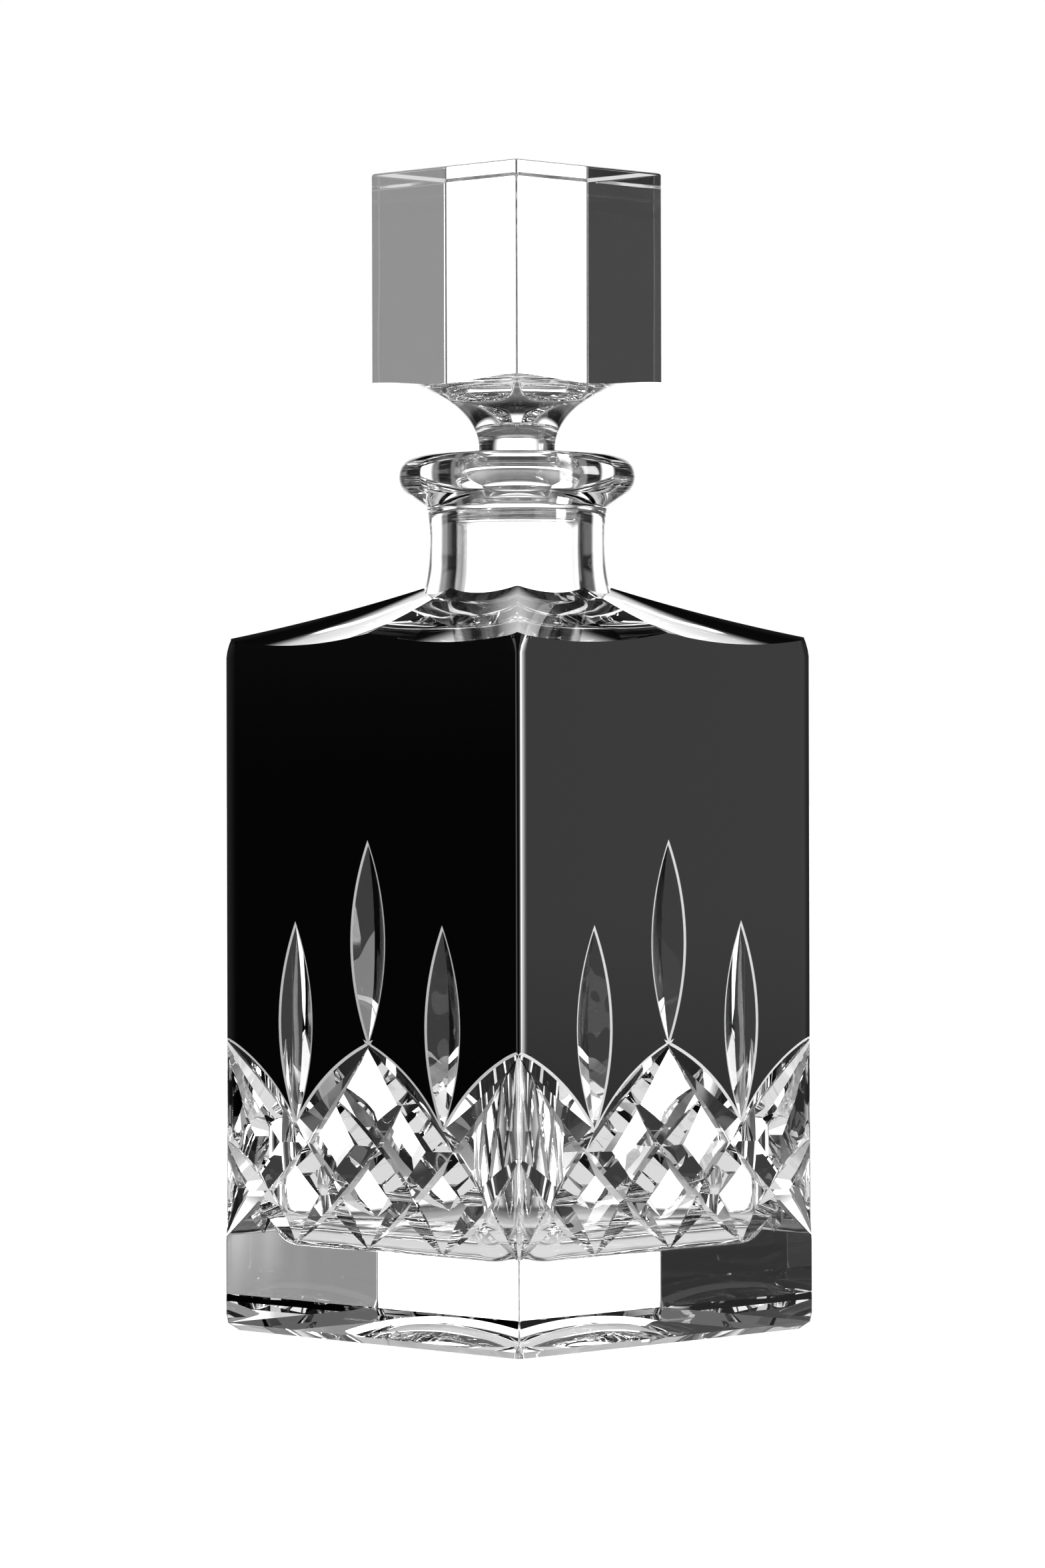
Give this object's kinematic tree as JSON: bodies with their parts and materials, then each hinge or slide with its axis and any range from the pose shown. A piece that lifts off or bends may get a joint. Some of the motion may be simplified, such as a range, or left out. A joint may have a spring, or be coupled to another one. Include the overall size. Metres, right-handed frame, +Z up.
{
  "type": "square cut crystal decanter",
  "caption": "Square spirit decanter of clear cut crystal with a black glass casing over its upper walls and a solid block stopper that lifts out of the neck.",
  "frame": {"origin": "centre of the base, on the surface the decanter stands on", "axes": "+Z up along the neck, X and Y square to the flat walls"},
  "size_m": [0.0886, 0.0886, 0.2467],
  "materials": {
    "clear_crystal": "polished clear lead-free crystal",
    "black_glass": "glossy opaque black casing",
    "stopper_crystal": "polished clear lead-free crystal"
  },
  "bodies": {
    "vessel": {"crystal_body": "clear_crystal", "black_casing": "black_glass"},
    "stopper": {"stopper": "stopper_crystal"}
  },
  "joints": [
    {"name": "stopper_lift", "type": "slide", "parent": "vessel", "child": "stopper", "axis": [0, 0, 1], "range_m": [0, 0.06]}
  ]
}
